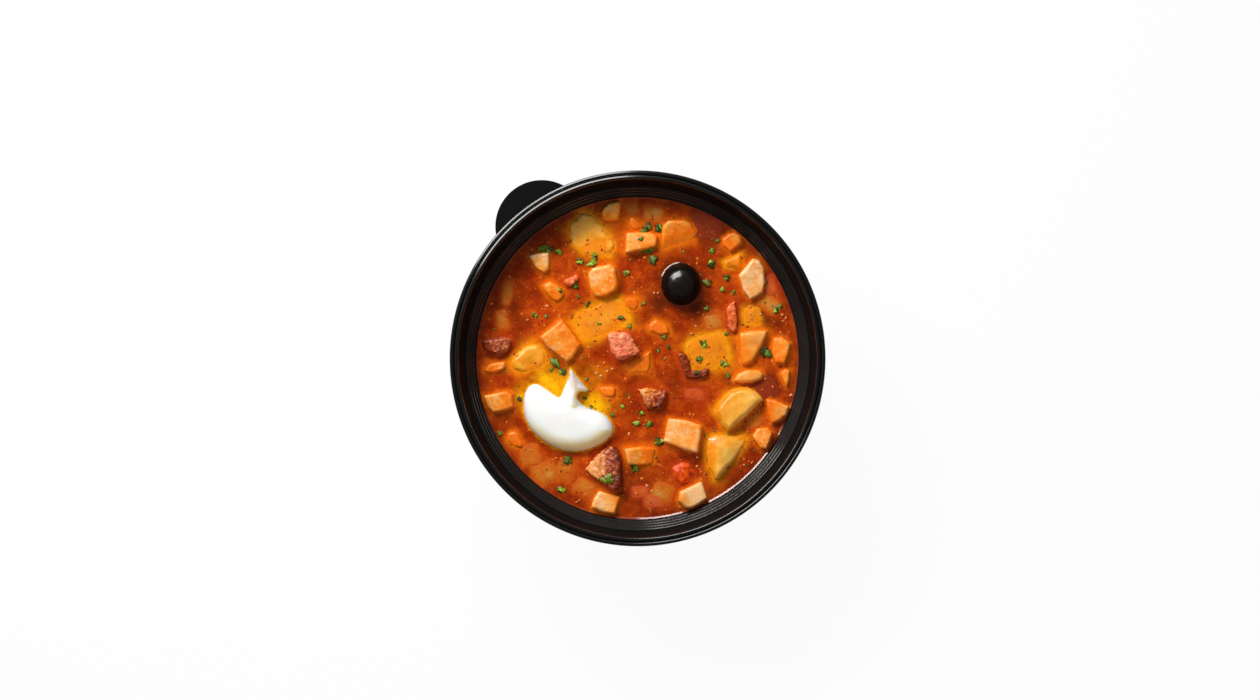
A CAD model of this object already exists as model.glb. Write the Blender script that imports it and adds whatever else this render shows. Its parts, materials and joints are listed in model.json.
"""Looks of a bowl of solyanka: a black plastic take-away bowl of orange-red broth with its pieces.

Lengths are in millimetres in the bowl's frame (origin under the middle of its base, +Z up),
and become metres only where a mesh, light or camera is made.
"""

import itertools
import json
import math

import bpy
import numpy as np
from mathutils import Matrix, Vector
from mathutils.bvhtree import BVHTree


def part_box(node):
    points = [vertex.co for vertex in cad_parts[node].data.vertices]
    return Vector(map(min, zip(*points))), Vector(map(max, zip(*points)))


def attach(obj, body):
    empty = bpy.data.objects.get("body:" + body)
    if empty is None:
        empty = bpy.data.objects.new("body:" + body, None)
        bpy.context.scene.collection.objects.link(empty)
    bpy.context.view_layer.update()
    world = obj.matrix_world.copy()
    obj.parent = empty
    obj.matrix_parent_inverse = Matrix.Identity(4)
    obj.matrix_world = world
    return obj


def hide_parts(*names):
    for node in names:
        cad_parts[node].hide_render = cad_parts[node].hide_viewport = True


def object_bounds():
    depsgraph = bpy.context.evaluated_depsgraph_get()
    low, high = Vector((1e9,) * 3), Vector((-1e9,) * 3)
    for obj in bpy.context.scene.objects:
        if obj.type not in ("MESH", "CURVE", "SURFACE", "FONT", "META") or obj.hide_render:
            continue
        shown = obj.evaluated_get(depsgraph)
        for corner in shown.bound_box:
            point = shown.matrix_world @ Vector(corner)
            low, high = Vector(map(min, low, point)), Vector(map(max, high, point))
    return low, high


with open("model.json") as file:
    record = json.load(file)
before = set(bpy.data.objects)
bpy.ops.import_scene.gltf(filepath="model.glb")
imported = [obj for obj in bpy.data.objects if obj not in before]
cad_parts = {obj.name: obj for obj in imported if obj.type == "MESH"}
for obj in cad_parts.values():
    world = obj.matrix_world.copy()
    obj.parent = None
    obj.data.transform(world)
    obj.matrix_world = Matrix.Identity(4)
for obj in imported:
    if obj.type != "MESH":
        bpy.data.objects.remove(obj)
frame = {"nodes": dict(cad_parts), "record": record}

cad_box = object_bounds()

MM = 0.001
RNG = np.random.default_rng(7)
HASH_PRIMES = (73856093, 19349663, 83492791)
HASH_SEED = 2654435761
HASH_MIX = 1274126177
NOISE_SHIFT = 31.7  # keeps the noise's corners off the middle of the bowl

# ---- the bowl, as in the frame ----
RIM_RADIUS = cad_box[1].x / MM
BOWL_HEIGHT = cad_box[1].z / MM
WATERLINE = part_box("broth")[1].z / MM
SOUP_RADIUS = 69.5
BASE_RADIUS = 46.0
WALL = 0.8
WALL_FLARE = 0.5
CORNER_HEIGHT = 5.0
RIB_COUNT = 4
RIB_PITCH = 1.9
RIB_REACH = 0.55
FIRST_RIB = WATERLINE + 1.2
BAND_BOTTOM = WATERLINE + 8.6
BAND_BOTTOM_RADIUS = 74.0
BAND_TOP_RADIUS = 76.2
BEAD_RADIUS = 0.9
FLAT_TOP = 86.0  # the flat on each bead, in degrees round it
FLAT_FOOT = 40.0
GROOVE_DEPTH = 1.0
SKIRT_DROP = 3.5
SKIRT_WALL = 0.9
BOWL_STEPS = 256
TAB_RADIUS = 19.8
TAB_CENTRE = 69.5
TAB_ANGLE = math.radians(126)
TAB_THICKNESS = 1.0
TAB_LIFT = 0.2
PLASTIC_COLOUR = (0.0055, 0.0055, 0.0055)
# The name, roughness and gloss of the bowl's plain surface, its ribs and its rim.
PLASTICS = [("matte_plastic", 0.5, 0.03), ("rib_plastic", 0.06, 0.8), ("rim_plastic", 0.11, 1.0)]

# ---- the view ----
PHOTO_WIDTH = 1260
PHOTO_HEIGHT = 700
SENSOR = 36.0
EYE = (-3.23, 3.57, 917.0)
PIXELS_PER_RADIAN = 2021.0

# ---- the light ----
KEY_AZIMUTH = 121.0
KEY_ELEVATION = 36.0
LAMP_DISTANCE = 700.0
# Each lamp's azimuth and elevation in degrees, its sides, its watts and whether it is mirrored.
LAMPS = {
    "soft_key": (KEY_AZIMUTH, KEY_ELEVATION, (640, 320), 3.6, True),
    "hard_key": (KEY_AZIMUTH, KEY_ELEVATION, (520, 70), 4.0, True),
    "fill": (-60.0, 50.0, (500, 500), 1.4, False),
}
LAMP_COLOUR = (1.0, 0.985, 0.96)
SKY_DARK = (0.25, 0.25, 0.25, 1.0)
SKY_LIGHT = (1.2, 1.19, 1.16, 1.0)
SKY_FALL = -0.6  # how much darker the sky is overhead than at the key light's side
SKY_STRENGTH = 0.24
FLOOR_HALF = 1500.0
FLOOR_GLOW = 0.94  # share of the floor's white that is its own light

# ---- the broth ----
BROTH_EDGE = SOUP_RADIUS + 0.3  # just into the wall
BROTH_STEPS = 300
BROTH_DEPTH = 8.0  # how far down its side goes
BROTH_LOOK = (0.4, 0.09)  # gloss and depth of its ripples
CLINGING_LOOK = (1.0, 0.01)
VOXEL = 0.42  # cell of the fine surface of each piece
SOAK = 2.6  # height above the waterline to which a piece is wet
SINKING_ROUNDS = {"ham": 3, "sausage": 4, "potato": 6}  # more smoothing of what hardly stands out
SUNK_ROUNDS = 8  # smoothing of the pieces just under the surface
SUNK_DROP = 0.4  # how much lower their edges lie than their middles
# Layers of unevenness, each with its height and the size of its cells.
BROTH_SWAY = [(0.06, 7.0), (0.035, 2.4)]
STAIN_PATCHES = [(0.55, 6.0), (0.3, 2.2)]
WET_EDGE = [(0.9, 2.2), (0.9, 5.5)]
SWAY_SEED = 71
PATCH_SEED = 75
CLIMB = 0.35  # how far the broth climbs a steep side
CLIMB_REACH = 0.8
WALL_SHADE = 0.45  # how dark the broth is beside the wall
WALL_SHADE_REACH = 3.0
PIECE_STAIN = 1.2  # how far in mm the colour of a piece spreads into the broth
SINKING_STAIN = 1.8
CREAM_STAIN = 0.5
OLIVE_STAIN = 1.0
STAINING = ("ham", "sausage", "potato")  # the other pieces stain the broth as gammon does
COLLAR_ROWS = 14
OLIVE_COLLAR_STEPS = 96
WALL_COLLAR_STEPS = 400
COLLAR_OVERLAP = 0.3  # how far each collar goes on into what it clings to
OLIVE_COLLAR = (1.3, 0.48)  # how wide and how steep
WALL_COLLAR = (1.1, 0.6)
# Dark open places of the photograph: pixel, reach in millimetres and how dark.
DEEP_SEEN = [
    ((716, 232), 9.0, 0.75), ((699, 308), 6.0, 0.7), ((762, 318), 8.0, 0.6), ((506, 308), 8.0, 0.5),
    ((645, 492), 9.0, 0.5), ((743, 432), 5.0, 0.5), ((676, 384), 6.0, 0.35), ((503, 415), 5.0, 0.6),
    ((772, 268), 8.0, 0.6), ((681, 284), 11.0, 0.85), ((660, 300), 6.0, 0.85), ((640, 380), 4.0, 0.4),
    ((517, 322), 6.0, 0.4), ((585, 345), 4.0, 0.3),
]

# ---- the pieces ----
OLIVE_VOXEL = 0.4
OLIVE_ROUNDS = 12
FIBRE_CELL = 0.9
# How the surface of each kind is made: the rounds of smoothing, the height of its strands of fibre,
# and the height and cell of each layer of unevenness.
RELIEFS = {
    "ham": (2, 0.0, [(0.25, 5.0), (0.06, 1.4)]),
    "gammon": (2, 0.3, [(0.35, 2.2), (0.25, 0.8)]),
    "smoked_meat": (2, 0.3, [(0.35, 2.2), (0.25, 0.8)]),
    "sausage": (4, 0.0, [(0.22, 4.0), (0.07, 1.2)]),
    "potato": (7, 0.0, [(0.45, 6.0), (0.14, 2.0), (0.06, 0.9)]),
    "tomato": (4, 0.0, [(0.45, 2.4), (0.12, 1.0)]),
}
# How single pieces look: the direction of their wetter side in degrees, the shade (0 dark or orange
# to 1 pale) at the drier and the wetter side, how many mm deeper than they are those look, and how
# many mm the wetter side and then the whole piece sink.
LOOKS = {
    "ham_1": (300, 1.1, 0.75, -0.6, 0.9),
    "ham_2": (220, 0.7, 0.25, 0.0, 1.6),
    "ham_3": (270, 0.9, 0.8, 0.6, 1.4),
    "ham_4": (270, 0.5, 0.2, 0.6, 1.2, 0.6),
    "ham_5": (300, 0.6, 0.45, 0.4, 1.3),
    "ham_6": (275, 0.7, 0.0, 0.0, 1.8, 1.0, 0.6),
    "ham_7": (315, 0.8, 0.25, 0.0, 2.0),
    "ham_8": (200, 0.3, 0.1, 0.6, 1.2, 0.6),
    "ham_9": (200, 0.6, 0.3, 0.4, 1.8),
    "ham_10": (200, 1.0, 0.95, -0.3, 0.1),
    "ham_11": (60, 0.5, 0.12, 0.5, 2.0),
    "ham_12": (200, 0.7, 0.35, 0.2, 1.4),
    "ham_13": (0, 0.75, 0.3, 0.2, 1.8),
    "ham_14": (120, 0.5, 0.15, 0.4, 1.6),
    "ham_15": (230, 0.15, 0.0, 1.2, 2.0),
    "ham_16": (200, 0.3, 0.1, 0.8, 2.2),
    "ham_17": (270, 0.5, 0.3, 0.4, 1.0, 0.8),
    "ham_18": (250, 0.55, 0.3, 0.5, 2.0),
    "ham_19": (200, 0.75, 0.6, 0.1, 0.9),
    "ham_20": (180, 0.62, 0.25, 0.1, 1.8),
    "ham_21": (20, 0.9, 0.7, 0.0, 0.9),
    "ham_22": (10, 0.8, 0.55, 0.0, 0.5),
    "ham_23": (350, 0.65, 0.2, 0.0, 1.5, 1.6),
    "ham_24": (195, 1.3, 0.6, -0.8, 1.4),
    "ham_25": (340, 0.65, 0.2, 0.0, 2.0),
    "potato_1": (300, 0.85, 0.6, -2.0, 0.1, 0.5, 1.6),
    "potato_2": (240, 0.55, 0.4, 0.3, 1.6),
    "potato_3": (285, 0.7, 0.6, -0.9, 0.7, 1.3),
    "potato_4": (150, 0.95, 0.45, -0.2, 3.2),
    "potato_5": (150, 1.0, 0.4, -0.6, 3.2, 1.2),
    "gammon_1": (225, 0.6, 0.5, 0.0, 0.8),
    "gammon_2": (270, 0.6, 0.45, 0.0, 0.8),
    "gammon_3": (300, 0.65, 0.5, 0.0, 0.5),
    "smoked_meat_1": (200, 0.6, 0.35, 0.4, 2.4),
    "smoked_meat_2": (310, 0.95, 0.25, 0.0, 1.8),
    "smoked_meat_3": (0, 1.0, 0.2, 0.0, 0.4),
    "rind": (270, 0.45, 0.35, 0.0, 0.6),
    "sausage_1": (190, 0.75, 0.25, 0.4, 1.8, 1.2),
    "sausage_2": (180, 0.6, 0.6, 0.2, 0.8),
    "tomato": (200, 0.5, 0.5, 0.2, 2.2),
}

# Pieces just under the surface: kind, middle, size in the plane, turn in degrees, how plainly it is
# seen (0 to 1) and how far in mm its colour spreads into the broth.
SUNK = [
    ("potato", (-15.3, 17.0), (28, 16), 24, 0.5, 2.0),
    ("potato", (30.6, 2.7), (22, 18), 20, 0.35, 2.2),
    ("ham", (-58.5, 16.6), (7, 11), 10, 0.35, 0.8),
    ("potato", (49.8, 18.3), (9, 9), 0, 0.5, 1.4),
    ("ham", (33.1, 15.7), (9, 8), 15, 0.6, 1.6),
    ("ham", (56.5, 23.9), (14, 9), -35, 0.5, 1.4),
    ("ham", (-56.0, 28.5), (6, 14), -14, 0.45, 0.8),
    ("ham", (-2.4, 65.0), (8, 7), 20, 0.6, 1.0),
    ("ham", (6.7, 62.4), (11, 9), -15, 0.6, 1.0),
    ("ham", (-40.0, -49.7), (15, 12), 30, 0.35, 0.9),
    ("ham", (-46.5, -41.9), (11, 13), 10, 0.38, 0.9),
    ("ham", (-31.4, -48.4), (11, 10), 60, 0.3, 0.9),
    ("ham", (-22.7, -56.2), (13, 10), -25, 0.3, 0.9),
    ("ham", (50.9, -26.7), (12, 9), 40, 0.4, 1.4),
    ("ham", (10.6, -57.9), (12, 10), -20, 0.45, 1.2),
    ("gammon", (57.4, 31.7), (8, 12), 15, 0.35, 1.2),
    ("gammon", (7.2, -61.4), (12, 9), 8, 0.45, 1.2),
    ("gammon", (1.6, -58.0), (11, 7), 4, 0.45, 1.2),
    ("gammon", (24.9, -15.9), (11, 6.5), -6, 0.4, 1.2),
    ("smoked_meat", (29.2, 57.4), (17, 13), -20, 0.24, 1.6),
    ("smoked_meat", (55.2, -13.7), (15, 12), 30, 0.24, 1.6),
]
SUNK_SEED = 500
SUNK_THICKNESS = 4.0
SUNK_RISE = 0.22  # how far the thin skin of broth on them stands over the waterline
# The shade of a sunk piece (0 to 1) and how much darker the broth over it makes it.
SUNK_LOOKS = {"potato": (0.48, 0.02), "ham": (0.7, 0.42), "gammon": (0.7, 0.3), "smoked_meat": (0.7, 0.4)}

# ---- the cream ----
# The photograph's pixels of the cream's outline at the waterline, of the ridge of its peak from the
# tip down, and of the places where it runs out into the broth, with how far in mm.
CREAM_OUTLINE_SEEN = [
    (530, 385), (536, 383.5), (542, 386), (549, 391), (556, 396), (560, 398), (563, 391),
    (566, 383), (569.5, 376), (569.5, 367), (574.5, 374), (580.5, 381), (586, 387), (588.5, 391.5),
    (583, 391.5), (578.5, 392), (577, 398), (581, 403.5), (588, 408), (598, 411), (606, 415),
    (612, 423), (614, 431), (608, 439), (597, 446), (583, 451), (569, 451.5), (555, 448),
    (543, 441), (533, 432), (526, 421), (523, 407), (524.5, 393),
]
CREAM_RIDGE_SEEN = [(570.5, 369), (572.5, 380), (574, 391), (572, 404)]
CREAM_POOLS_SEEN = [
    ((553, 386), 5.0), ((545, 380), 4.0), ((588, 400), 5.5), ((596, 406), 4.0), ((521, 396), 3.0),
]
CREAM_SLOPE = 2.0  # how steeply it goes down under the broth
CREAM_SOAK = 1.7  # height above the waterline to which it is wet
CREAM_RISE = 5.4
CREAM_SHOULDER = 7.0  # how far in from its outline it is at its full height
PEAK_RISE = 7.4
PEAK_FALL = 2.0  # how much lower the far end of the ridge is
PEAK_EDGE = 0.8  # how far in from the outline the ridge has its height
PEAK_LEFT = (0.8, 1.8)  # half its width at the tip, and how much more at its far end
PEAK_RIGHT = (1.2, 3.4)
CREAM_DEPTH = 8.0
CREAM_MARGIN = 7.0  # how far past its box in the frame its surface is worked out
CREAM_STEP = 0.35  # cell of its surface
CREAM_SHADE_SIDE = (0.3, -0.95, 0.0)  # where its warm shaded side faces

# ---- scattered things ----
OPEN_RADIUS = 67.8
OPEN_RISE = 0.7  # what stands higher above the waterline isn't open broth
PARSLEY_FLAKES = 60
PULP_SHREDS = 700
FINE_SPECKS = 160
LEAF_SIDES = 12
LEAF_THICKNESS = 0.22
SCRAP_RINGS = 6
SCRAP_SIDES = 8
FLAKE_SIZE = (0.7, 1.8)
FLAKE_SEED = 4000
# The least and greatest half size of scraps, shreds and specks, and their proportions.
SCRAP_SIZE, SCRAP_SHAPE = (0.4, 0.85), np.array([1.1, 0.8, 0.6])
SHRED_SIZE, SHRED_SHAPE = (0.2, 0.6), np.array([1.1, 0.8, 0.22])
SPECK_SIZE, SPECK_SHAPE = (0.12, 0.3), np.array([1.3, 0.9, 0.6])
# Chopped parsley that the photograph shows: pixel and size across in millimetres.
PARSLEY_SEEN = [
    ((593, 262), 3.6), ((581, 261), 2.6), ((645, 232), 3.2), ((658, 228), 3.6), ((648, 226), 3.0),
    ((648, 250), 3.4), ((652, 260), 3.4), ((627, 273), 2.8), ((587, 305), 2.2), ((621, 317), 2.4),
    ((599, 323), 1.8), ((630, 327), 2.2), ((643, 304), 1.8), ((712, 251), 2.6), ((713, 264), 3.4),
    ((708, 283), 3.4), ((727, 278), 2.8), ((733, 293), 2.2), ((722, 289), 2.0), ((777, 309), 3.0),
    ((767, 354), 4.2), ((704, 345), 3.0), ((699, 359), 2.6), ((727, 334), 2.4), ((724, 364), 3.0),
    ((728, 375), 2.6), ((665, 337), 2.4), ((668, 346), 2.0), ((658, 350), 1.8), ((534, 315), 2.6),
    ((545, 317), 1.8), ((550, 249), 4.2), ((543, 250), 3.0), ((558, 251), 2.6), ((575, 285), 2.6),
    ((578, 297), 1.8), ((560, 290), 2.0), ((557, 362), 3.8), ((561, 372), 3.2), ((552, 370), 2.2),
    ((519, 398), 2.4), ((585, 398), 1.8), ((591, 406), 1.8), ((586, 379), 1.8), ((568, 459), 3.8),
    ((560, 489), 3.0), ((500, 433), 2.4), ((635, 467), 3.8), ((609, 477), 3.8), ((649, 424), 2.8),
    ((636, 425), 2.8), ((660, 441), 3.6), ((612, 415), 2.4), ((642, 413), 2.4), ((622, 406), 2.0),
    ((698, 372), 1.8), ((717, 241), 2.2), ((707, 308), 2.2), ((596, 256), 2.8), ((640, 240), 2.4),
]
# Pale scraps on the surface that the photograph shows.
SCRAPS_SEEN = [
    (696, 326), (692, 334), (782, 315), (786, 318), (781, 333), (765, 379), (773, 387), (750, 307),
    (761, 314), (541, 278), (547, 306), (555, 311), (507, 382), (556, 458), (561, 459), (577, 502),
    (647, 486), (652, 491), (656, 507), (650, 509), (697, 457), (697, 466), (701, 472), (752, 463),
    (744, 465), (631, 402), (629, 434), (654, 293), (658, 293), (791, 395), (604, 363), (598, 366),
    (596, 373), (607, 371), (601, 376), (612, 369),
]

# ---- colours ----
DEEP_COLOUR = (0.11, 0.016, 0.002)
# Each fibrous meat: its seams, flesh and fibres, the share of dark seams, and the depth of its strands.
FIBROUS = {
    "gammon": ([(0.42, 0.035, 0.014), (0.76, 0.14, 0.055), (0.90, 0.33, 0.15)], 0.46, 0.3),
    "smoked_meat": ([(0.08, 0.010, 0.003), (0.34, 0.045, 0.010), (0.92, 0.37, 0.11)], 0.48, 0.3),
    "sunk_gammon": ([(0.62, 0.08, 0.030), (0.75, 0.13, 0.05), (0.82, 0.20, 0.09)], 0.46, 0.05),
    "sunk_smoked_meat": ([(0.24, 0.026, 0.006), (0.30, 0.040, 0.010), (0.44, 0.08, 0.02)], 0.48, 0.05),
}
PARSLEY_COLOURS = [(0.035, 0.055, 0.004), (0.09, 0.15, 0.007), (0.19, 0.29, 0.014), (0.13, 0.13, 0.008)]
PALE = [(0.80, 0.28, 0.09), (0.78, 0.20, 0.05), (0.88, 0.40, 0.17), (0.70, 0.14, 0.03)]
PULP = [
    (0.68, 0.15, 0.01), (0.60, 0.07, 0.008), (0.48, 0.03, 0.004), (0.78, 0.24, 0.03), (0.24, 0.022, 0.002),
]
SPECKS = [(0.06, 0.06, 0.006), (0.09, 0.02, 0.006), (0.14, 0.15, 0.012), (0.05, 0.015, 0.006)]
# What the broth looks like beside each kind of food and on it.
STAINS = {
    "ham": (0.84, 0.185, 0.004),
    "sausage": (0.86, 0.210, 0.006),
    "potato": (0.92, 0.320, 0.005),
    "sour_cream": (0.98, 0.520, 0.003),
    "gammon": (0.52, 0.060, 0.006),
    "smoked_meat": (0.30, 0.034, 0.003),
    "tomato": (0.70, 0.080, 0.004),
    "olive": (0.16, 0.020, 0.002),
    "sunk_ham": (0.62, 0.105, 0.006),
    "sunk_potato": (0.95, 0.360, 0.004),
    "sunk_gammon": (0.48, 0.050, 0.007),
    "sunk_smoked_meat": (0.24, 0.026, 0.003),
}
# What the broth multiplies the colour of food and of cream by, from dry (0) to wet (1).
SOAK_TINTS = [
    (0.0, (1.0, 1.0, 1.0)),
    (0.25, (1.0, 0.93, 0.72)),
    (0.5, (1.0, 0.80, 0.34)),
    (0.75, (1.0, 0.66, 0.10)),
    (1.0, (1.0, 0.50, 0.02)),
]
CREAM_TINTS = [
    (0.0, (1.0, 1.0, 1.0)),
    (0.55, (1.0, 0.97, 0.88)),
    (0.8, (1.0, 0.88, 0.52)),
    (1.0, (1.0, 0.64, 0.04)),
]


# ---- meshes ----
def noise(points, size, seed):
    """Smooth noise from -1 to 1 at an array of points, its cells that many millimetres across."""
    points = np.asarray(points, float) / size + NOISE_SHIFT
    cell = np.floor(points).astype(np.int64)
    part = points - cell
    part = part * part * (3 - 2 * part)
    total = np.zeros(len(points))
    for corner in itertools.product((0, 1), repeat=3):
        x, y, z = ((cell + np.array(corner)) * HASH_PRIMES).T
        key = x ^ y ^ z ^ seed * HASH_SEED
        key = ((key ^ (key >> 13)) * HASH_MIX) & 0x7FFFFFFF
        value = ((key >> 7) & 0xFFFF) / 32767.5 - 1
        total += value * np.prod(np.where(corner, part, 1 - part), axis=1)
    return total


def layered(points, layers, seed):
    """Layers of noise added up, each given by its height and the size of its cells."""
    return sum(rise * noise(points, size, seed + index) for index, (rise, size) in enumerate(layers))


def flat(points, height=0.0):
    """Points of the plane as points in space, all at one height."""
    return np.column_stack([points, np.full(len(points), height)])


def around(angle):
    """Unit vectors in the plane at angles in radians."""
    return np.stack([np.cos(angle), np.sin(angle)], -1)


def seen_at(pixel):
    """The place at the waterline that the photograph shows at a pixel."""
    scale = (EYE[2] - WATERLINE) / PIXELS_PER_RADIAN
    x = EYE[0] + (pixel[0] - PHOTO_WIDTH / 2) * scale
    y = EYE[1] - (pixel[1] - PHOTO_HEIGHT / 2) * scale
    return x, y


def rotated(x, y, angle):
    """Coordinates in a plane after a turn by an angle in radians."""
    c, s = math.cos(angle), math.sin(angle)
    return x * c - y * s, x * s + y * c


def loop_faces(low, high, count, flip=False):
    """A closed band of faces between two loops of points that start at those indices."""
    faces = []
    for step in range(count):
        after = (step + 1) % count
        face = (low + step, high + step, high + after, low + after)
        faces.append(face[::-1] if flip else face)
    return faces


def fan_faces(tip, loop, count, flip=False):
    """Faces from a tip to each side of a closed loop of points."""
    sides = [(loop + step, loop + (step + 1) % count) for step in range(count)]
    return [(tip, b, a) if flip else (tip, a, b) for a, b in sides]


def grid_quads(index):
    """The faces of a grid, from the numbers of its points."""
    return np.stack([index[:-1, :-1], index[1:, :-1], index[1:, 1:], index[:-1, 1:]], -1).reshape(-1, 4)


def new_object(name, mesh, material, slot=None):
    """An object with smooth faces, which belongs to the part if it has a slot."""
    piece = bpy.data.objects.new(name, mesh)
    bpy.context.scene.collection.objects.link(piece)
    mesh.materials.clear()
    mesh.materials.append(material)
    mesh.polygons.foreach_set("use_smooth", [True] * len(mesh.polygons))
    if slot:
        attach(piece, "root")
    return piece


def stand_in(node, mesh, material, slot):
    """The fine piece that is shown in place of a node of the frame."""
    mesh.name = node + "_fine"
    piece = new_object(node + "_fine", mesh, material, slot)
    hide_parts(node)
    return piece


def mesh_of(name, points, faces):
    mesh = bpy.data.meshes.new(name)
    mesh.from_pydata((np.asarray(points, float) * MM).tolist(), [], [list(face) for face in faces])
    mesh.update()
    return mesh


def values_of(items, key, width, kind=np.float32):
    """A value of every item of a mesh, as rows."""
    flat_values = np.zeros(len(items) * width, kind)
    items.foreach_get(key, flat_values)
    return flat_values.reshape(-1, width)


def points_of(mesh):
    """The vertices in millimetres."""
    return values_of(mesh.vertices, "co", 3).astype(float) / MM


def set_points(mesh, points):
    mesh.vertices.foreach_set("co", (points * MM).astype(np.float32).ravel())
    mesh.update()


def edges_of(mesh):
    return values_of(mesh.edges, "vertices", 2, np.int32)


def normals_of(mesh):
    return values_of(mesh.vertex_normals, "vector", 3).astype(float)


def smoothed(points, edges, rounds):
    """Each point moved halfway to the middle of its neighbours, several times over."""
    a, b = edges.T
    count = np.bincount(a, minlength=len(points)) + np.bincount(b, minlength=len(points))
    for _ in range(rounds):
        total = np.zeros_like(points)
        for axis in range(3):
            total[:, axis] += np.bincount(a, points[b, axis], minlength=len(points))
            total[:, axis] += np.bincount(b, points[a, axis], minlength=len(points))
        points = 0.5 * points + 0.5 * total / np.maximum(count, 1)[:, None]
    return points


def remeshed(mesh, voxel):
    """The same closed shape as an even fine grid of faces."""
    holder = bpy.data.objects.new("holder", mesh)
    bpy.context.scene.collection.objects.link(holder)
    remesh = holder.modifiers.new("remesh", "REMESH")
    remesh.mode = "VOXEL"
    remesh.voxel_size = voxel * MM
    graph = bpy.context.evaluated_depsgraph_get()
    fine = bpy.data.meshes.new_from_object(holder.evaluated_get(graph))
    bpy.data.objects.remove(holder)
    return fine


def set_numbers(mesh, name, values):
    """A number per vertex that the piece's material reads by name."""
    attribute = mesh.attributes.new(name, "FLOAT", "POINT")
    attribute.data.foreach_set("value", np.broadcast_to(values, len(mesh.vertices)).astype(np.float32))


def set_look(mesh, seed, angle, dry_tone, wet_tone, dry_depth, wet_depth, sink=0.0, lower=0.0):
    """Shade and wetness that change across the piece towards one side, which may sink a little."""
    points = points_of(mesh)
    along = points[:, 0] * math.cos(math.radians(angle)) + points[:, 1] * math.sin(math.radians(angle))
    share = (along - along.min()) / np.ptp(along)
    points[:, 2] -= sink * share**2 + lower
    set_points(mesh, points)
    uneven = layered(points, WET_EDGE, seed + 7)
    above = points[:, 2] - WATERLINE - dry_depth - (wet_depth - dry_depth) * share**1.5
    wet = 1 - (above + uneven * np.clip(above, 0, 1)) / SOAK
    set_numbers(mesh, "tone", dry_tone + (wet_tone - dry_tone) * share)
    set_numbers(mesh, "wet", np.clip(wet, 0, 1))


def set_colours(mesh, colours):
    """A colour per vertex that the piece's material reads."""
    attribute = mesh.color_attributes.new("own", "FLOAT_COLOR", "POINT")
    full = np.ones((len(mesh.vertices), 4), np.float32)
    full[:, :3] = colours
    attribute.data.foreach_set("color", full.ravel())


def disc_grid(steps, radius):
    """An even grid over a disc whose outermost points lie on its edge, and its faces."""
    line = np.linspace(-1, 1, steps + 1)
    u, v = np.meshgrid(line, line, indexing="ij")
    wide = np.abs(u) > np.abs(v)
    reach = np.where(wide, u, v)
    ratio = np.where(wide, v / np.where(u == 0, 1, u), u / np.where(v == 0, 1, v))
    angle = np.where(wide, math.pi / 4 * ratio, math.pi / 2 - math.pi / 4 * ratio)
    x = radius * reach * np.cos(angle)
    y = radius * reach * np.sin(angle)
    index = np.arange((steps + 1) ** 2).reshape(steps + 1, steps + 1)
    rim = np.concatenate([index[:-1, 0], index[-1, :-1], index[:0:-1, -1], index[0, :0:-1]])
    return np.stack([x.ravel(), y.ravel()], -1), grid_quads(index), rim


# ---- materials ----
# They read what the vertices carry: tone (0 dark to 1 pale), wet (0 dry to 1 under the broth), deep
# (how dark the broth makes it look, from 0 to 1) and own (a colour).
class Graph:
    """A material's nodes, added one call at a time."""

    def __init__(self, name):
        self.material = bpy.data.materials.new(name)
        self.material.use_nodes = True
        self.tree = self.material.node_tree
        self.tree.nodes.clear()
        place = {0: self.add("ShaderNodeTexCoord").outputs["Object"], "Scale": 1 / MM}
        self.place = self.add("ShaderNodeVectorMath", place, operation="SCALE").outputs[0]

    def add(self, kind, inputs=None, **settings):
        made = self.tree.nodes.new(kind)
        for key, value in settings.items():
            setattr(made, key, value)
        for key, value in (inputs or {}).items():
            self.plug(made.inputs[key], value)
        return made

    def plug(self, socket, value):
        if isinstance(value, bpy.types.NodeSocket):
            self.tree.links.new(value, socket)
        else:
            socket.default_value = value

    def math(self, operation, a, b):
        return self.add("ShaderNodeMath", {0: a, 1: b}, operation=operation).outputs[0]

    def total(self, *parts):
        """The sum of the values, each times its share."""
        whole = 0.0
        for value, share in parts:
            whole = self.math("ADD", whole, self.math("MULTIPLY", value, share))
        return whole

    def noise(self, cell, detail=2.0, stretch=None, roughness=0.5):
        """Noise from 0 to 1 whose main feature is one cell, in millimetres, across."""
        place = self.place
        if stretch:
            turn_and_size = {0: place, "Rotation": stretch[0], "Scale": stretch[1]}
            place = self.add("ShaderNodeMapping", turn_and_size).outputs[0]
        inputs = {"Vector": place, "Scale": 1 / cell, "Detail": detail, "Roughness": roughness}
        return self.add("ShaderNodeTexNoise", inputs).outputs[0]

    def ramp(self, factor, stops):
        made = self.add("ShaderNodeValToRGB", {0: factor})
        stop_list = made.color_ramp.elements
        while len(stop_list) < len(stops):
            stop_list.new(1.0)
        for element, (position, colour) in zip(stop_list, stops):
            element.position = position
            element.color = (*colour, 1) if isinstance(colour, tuple) else (colour, colour, colour, 1)
        return made.outputs[0]

    def mix(self, factor, a, b, blend="MIX"):
        made = self.add("ShaderNodeMix", data_type="RGBA", blend_type=blend)
        for socket, value in zip((0, 6, 7), (factor, a, b)):  # its factor and colour sockets
            self.plug(made.inputs[socket], (*value, 1) if isinstance(value, tuple) else value)
        return made.outputs[2]

    def bump(self, height, depth):
        """A normal from a height of 0 to 1, depth millimetres deep."""
        inputs = {"Height": height, "Distance": depth * MM, "Strength": 1.0}
        return self.add("ShaderNodeBump", inputs).outputs[0]

    def attribute(self, name, output):
        return self.add("ShaderNodeAttribute", attribute_name=name).outputs[output]

    def finish(self, shader):
        self.add("ShaderNodeOutputMaterial", {"Surface": shader})
        return self.material

    def principled(self, **inputs):
        named = {key.replace("_", " "): value for key, value in inputs.items()}
        if isinstance(named["Base Color"], tuple):
            named["Base Color"] = (*named["Base Color"], 1)
        return self.add("ShaderNodeBsdfPrincipled", named).outputs[0]


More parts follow.
